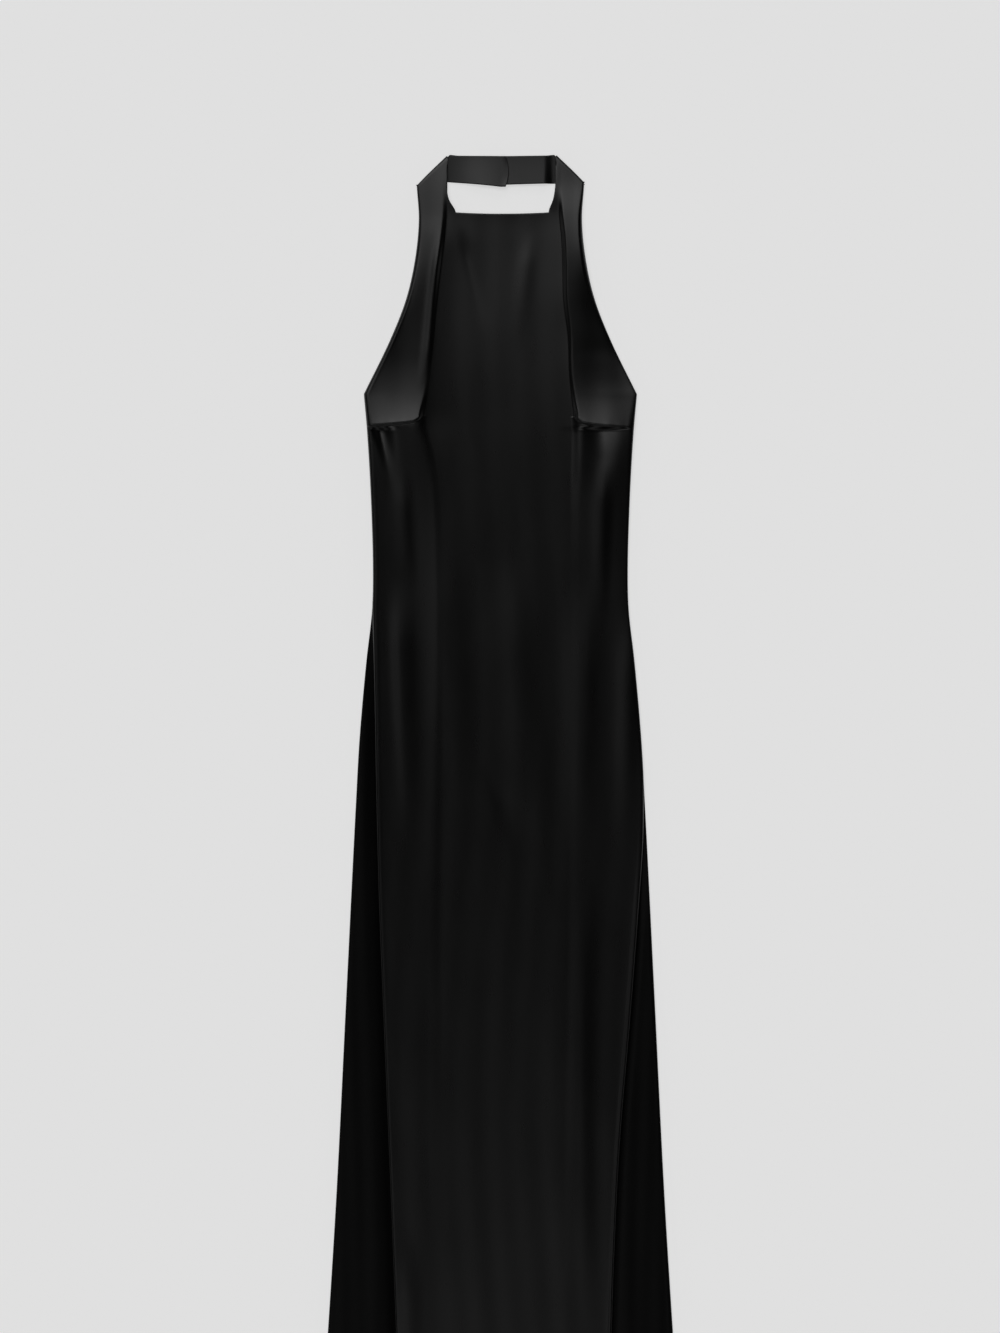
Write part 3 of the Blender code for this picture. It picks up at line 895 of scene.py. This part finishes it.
def margin_height(side, x, down, edge, rise, wide):
    """The back's folded-in margin rises from under the front's edge to the fold at the side."""
    beyond = 1.0 - (1.0 - min(max((x - edge) / MARGIN_RISE_WIDTH[side], 0.0), 1.0)) ** 2
    height = BACK_LEVEL + blend(LAYER, rise, beyond)
    # Its waves are the front's, closer together across and taken from another place
    return height + wide * beyond * MARGIN_WAVES * faint_waves(x * 1.7 + 40.0, down * 0.8)


def back_side_point(side, column, down):
    """A point of the back's margin, which folds over at the side and lies on the back."""
    mirror = -1 if side == "left" else 1
    outline = outline_half(down)
    edge = front_half(side, down)
    wide = margin_share(side, down)
    rise = LAYER + MARGIN_RISE * wide
    if column < MARGIN_COLUMNS:
        width = outline - edge + blend(TURNED_EDGE, SKIRT_OVERLAP, wide)
        x = blend(outline - rise / 2 - width, outline - rise / 2, column / MARGIN_COLUMNS)
        height = margin_height(side, x, down, edge, rise, wide)
        return place(mirror * x, down, height)
    turn = 1.0 - (column - MARGIN_COLUMNS) / BACK_ROLL_COLUMNS
    x, height = roll_point(turn, outline, BACK_LEVEL, rise)
    return place(mirror * x, down, height)


def back_point(column, row):
    """A point of the back, from its left margin round under the dress to its right margin."""
    folded = MARGIN_COLUMNS + BACK_ROLL_COLUMNS
    down = BACK_DOWNS[row]
    if column <= folded:
        return back_side_point("left", column, down)
    if column >= BACK_COLUMNS - folded:
        return back_side_point("right", BACK_COLUMNS - column, down)
    share = (column - folded) / UNDER_COLUMNS
    limit = outline_half(down) - LAYER / 2
    across = 2.0 * share - 1.0
    near_top = max(1.0 - (down - UNDERARM) / BACK_SCOOP_FADE, 0.0)
    scoop = BACK_SCOOP * (1.0 - across * across) * near_top
    return place(limit * across, down + scoop, BACK_LEVEL)


def band_height(side, x, depth):
    """Height of half the neckband over the floor; its lower edge stands up a little, and the left
    half lies over the right one."""
    half = BAND[side]
    clear = ease((STRAP["left"][0].inner - abs(x)) / half.slope_width)
    lift = clear * (half.top_lift + half.low_lift * depth**1.3)
    if side == "right" or x < -OVERLAP_BLEND:
        return BACK_LEVEL + BAND_REST + lift
    corner = CORNER_LIFT * abs(2.0 * depth - 1.0) ** 3 * ease(x / OVERLAP_END)
    over = band_height("right", x, depth) + OVERLAP_STEP + corner
    return blend(BACK_LEVEL + BAND_REST + lift, over, ease(x / OVERLAP_BLEND + 1.0))


def band_point(side, column, row):
    """A point of half the neckband, from the fold under its strap to the centre back."""
    half = BAND[side]
    share = column / BAND_COLUMNS
    depth = row / BAND_ROWS
    start = strap_inner[side](0.0) + STRAP_WIDTH * depth - STRAP_ROLL * math.sqrt(2.0)
    end = OVERLAP_END - OVERLAP_CHAMFER * (2.0 * depth - 1.0) ** 2
    x = blend(-start, end, share) if side == "left" else blend(start, OVERLAP_START, share)
    from_strap = max(1.0 - abs(min(x, 0.0) if side == "left" else max(x, 0.0)) / start, 0.0)
    clear = ease(from_strap * CLEAR_RATE)
    top = blend(half.top_at_strap, half.top_at_middle, from_strap) * clear
    hanging = blend(half.low_at_strap, half.low_at_middle, from_strap**1.5)
    low = blend(STRAP_CORNER, hanging, clear)
    return place(x, blend(top, low, depth), band_height(side, x, depth))


def sizes():
    """The cloth's sizes as the panel sets them."""
    return bpy.context.scene.dress_sizes


def everywhere(column, row):
    """A sheet of cloth without an opening has every face of its grid."""
    return True


def lengths_along(grid, axis):
    """Distance along a grid's rows or columns from their first point to each of their points."""
    steps = np.linalg.norm(np.diff(grid, axis=axis), axis=2)
    start = np.zeros((grid.shape[0], 1) if axis == 1 else (1, grid.shape[1]))
    return np.concatenate([start, np.cumsum(steps, axis=axis)], axis=axis)


def cloth_sheet(name, columns, rows, point, has_face, material, node):
    """A sheet of cloth over a grid whose corners are placed by a function. It stands for a solid
    of the frame, and its UV map holds real metres along and across the cloth."""
    sheet = bmesh.new()
    bmesh.ops.create_grid(sheet, x_segments=columns, y_segments=rows, size=1.0)
    cells = [
        face
        for face in sheet.faces
        if not has_face(
            math.floor((face.calc_center_median().x + 1) / 2 * columns),
            math.floor((1 - face.calc_center_median().y) / 2 * rows),
        )
    ]
    bmesh.ops.delete(sheet, geom=cells, context="FACES")
    grid = np.array(
        [[point(column, row) for column in range(columns + 1)] for row in range(rows + 1)]
    )
    across = lengths_along(grid, 1)
    across -= across[:, columns // 2][:, None]
    along = lengths_along(grid, 0)[:, columns // 2]
    uv = sheet.loops.layers.uv.new("Cloth")
    for corner in sheet.verts:
        column = round((corner.co.x + 1) / 2 * columns)
        row = round((1 - corner.co.y) / 2 * rows)
        corner.co = grid[row, column]
        for loop in corner.link_loops:
            loop[uv].uv = (across[row, column], -along[row])
    area = sum(face.calc_area() for face in sheet.faces)
    mesh = bpy.data.meshes.new(name)
    sheet.to_mesh(mesh)
    sheet.free()
    mesh.shade_smooth()
    mesh.materials.append(material)
    piece = bpy.data.objects.new(name, mesh)
    bpy.context.scene.collection.objects.link(piece)
    wall = piece.modifiers.new("cloth thickness", "SOLIDIFY")
    wall.thickness = sizes().cloth_thickness
    wall.offset = 0.0
    wall.use_quality_normals = True
    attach(piece, "root")
    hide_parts(node)
    return piece, area


class DRESS_OT_back_panel(bpy.types.Operator):
    """Lays the back panel on the floor, with its margins folded in"""

    bl_idname = "dress.back_panel"
    bl_label = "Back panel"

    def execute(self, context):
        finish = context.scene.dress_finish
        satin = woven_satin(
            "satin_duller_side",
            finish.wrong_side_colour,
            finish.wrong_side_roughness,
            warp_gloss=0.2,
            gloss_index=1.24,
        )
        piece, area = cloth_sheet(
            "back_cloth",
            BACK_COLUMNS,
            len(BACK_DOWNS) - 1,
            back_point,
            everywhere,
            satin,
            "back_panel",
        )
        return {"FINISHED"}


class DRESS_OT_front_panel(bpy.types.Operator):
    """Lays the front panel over the back, with its straps, darts and folds"""

    bl_idname = "dress.front_panel"
    bl_label = "Front panel"

    def execute(self, context):
        finish = context.scene.dress_finish
        satin = woven_satin(
            "satin_face",
            finish.face_colour,
            finish.face_roughness,
            warp_gloss=0.3,
            gloss_index=1.5,
        )
        piece, area = cloth_sheet(
            "front_cloth",
            FRONT_COLUMNS,
            FRONT_ROWS,
            front_point,
            front_has_face,
            satin,
            "front_panel",
        )
        return {"FINISHED"}


class DRESS_OT_neckband(bpy.types.Operator):
    """Lays the two halves of the neckband behind the straps"""

    bl_idname = "dress.neckband"
    bl_label = "Neckband"

    def execute(self, context):
        finish = context.scene.dress_finish
        satin = woven_satin(
            "satin_wrong_side",
            finish.wrong_side_colour,
            finish.wrong_side_roughness,
            warp_gloss=0.2,
            gloss_index=1.5,
        )
        for side in ("left", "right"):
            piece, area = cloth_sheet(
                f"neckband_{side}_cloth",
                BAND_COLUMNS,
                BAND_ROWS,
                lambda column, row, side=side: band_point(side, column, row),
                everywhere,
                satin,
                f"neckband_{side}",
            )
        return {"FINISHED"}


class DRESS_OT_stage(bpy.types.Operator):
    """Sets up the pale floor, the soft light and the camera straight above"""

    bl_idname = "dress.stage"
    bl_label = "Stage"

    def execute(self, context):
        scene = context.scene
        stage = scene.dress_stage
        floor = bmesh.new()
        bmesh.ops.create_grid(floor, x_segments=8, y_segments=8, size=FLOOR_HALF_SIZE)
        bmesh.ops.translate(floor, verts=floor.verts, vec=(0.0, 0.0, -FLOOR_DROP * MM))
        mesh = bpy.data.meshes.new("pale_floor")
        floor.to_mesh(mesh)
        floor.free()
        mesh.materials.append(light_table("opal_acrylic", stage.floor_colour, stage.light_table))
        board = bpy.data.objects.new("pale_floor", mesh)
        scene.collection.objects.link(board)

        world = bpy.data.worlds.new("dim_studio")
        scene.world = world
        world.use_nodes = True
        tree = world.node_tree
        direction = add_node(tree, "ShaderNodeTexCoord").outputs["Generated"]
        total = None
        for soft in SOFTLIGHTS:
            stretch = (1.0 / soft.width, 1.0 / soft.length, 1.0 / soft.depth)
            centre = [-c * k for c, k in zip(soft.towards, stretch)]
            mapped = add_node(
                tree,
                "ShaderNodeMapping",
                inputs={"Location": centre, "Scale": stretch},
                links={"Vector": direction},
            )
            spot = add_node(
                tree,
                "ShaderNodeTexGradient",
                {"gradient_type": "SPHERICAL"},
                links={"Vector": mapped.outputs["Vector"]},
            )
            glow = add_node(
                tree,
                "ShaderNodeMapRange",
                {"interpolation_type": "SMOOTHERSTEP"},
                {"To Max": soft.brightness},
                {"Value": spot.outputs["Fac"]},
            )
            if total is None:
                total = glow.outputs["Result"]
                continue
            total = add_node(
                tree, "ShaderNodeMath", {"operation": "ADD"}, {}, {0: total, 1: glow.outputs["Result"]}
            ).outputs["Value"]
        dim = add_node(tree, "ShaderNodeMath", {"operation": "ADD"}, {1: stage.dim}, {0: total})
        tree.links.new(dim.outputs["Value"], tree.nodes["Background"].inputs["Strength"])
        tree.nodes["Background"].inputs["Color"].default_value = (1.0, 1.0, 1.0, 1.0)

        frame_height = PHOTO_HEIGHT * MM_PER_PIXEL * MM
        data = bpy.data.cameras.new("camera_above")
        data.lens = stage.lens
        camera = bpy.data.objects.new("camera_above", data)
        middle_x = (PHOTO_WIDTH / 2 - PHOTO_MIDDLE_LINE) * MM_PER_PIXEL * MM
        middle_down = (PHOTO_HEIGHT / 2 - PHOTO_TOP_OF_BAND) * MM_PER_PIXEL
        distance = frame_height * data.lens / data.sensor_width
        camera.location = (middle_x, (TOTAL_LENGTH / 2 - middle_down) * MM, distance)
        scene.collection.objects.link(camera)
        scene.camera = camera
        scene.view_settings.view_transform = "Standard"
        return {"FINISHED"}


class DRESS_PT_panel(bpy.types.Panel):
    """Lists the dress's settings and the operators that make it"""

    bl_idname = "DRESS_PT_panel"
    bl_label = "Halter dress"
    bl_space_type = "VIEW_3D"
    bl_region_type = "UI"
    bl_category = "Halter dress"

    def draw(self, context):
        layout = self.layout
        for group in GROUPS:
            settings = getattr(context.scene, group)
            for name in settings.__annotations__:
                layout.prop(settings, name)
        for operator in OPERATORS:
            layout.operator(operator.bl_idname)


GROUPS = {"dress_sizes": DressSizes, "dress_finish": DressFinish, "dress_stage": StageSettings}
OPERATORS = (DRESS_OT_stage, DRESS_OT_back_panel, DRESS_OT_front_panel, DRESS_OT_neckband)
CLASSES = (*GROUPS.values(), *OPERATORS, DRESS_PT_panel)


def register():
    for each in CLASSES:
        bpy.utils.register_class(each)
    for name, group in GROUPS.items():
        setattr(bpy.types.Scene, name, bpy.props.PointerProperty(type=group))


def unregister():
    for name in GROUPS:
        delattr(bpy.types.Scene, name)
    for each in reversed(CLASSES):
        bpy.utils.unregister_class(each)


def main():
    register()
    bpy.ops.dress.stage()
    bpy.ops.dress.back_panel()
    bpy.ops.dress.front_panel()
    bpy.ops.dress.neckband()


if __name__ == "__main__":
    main()
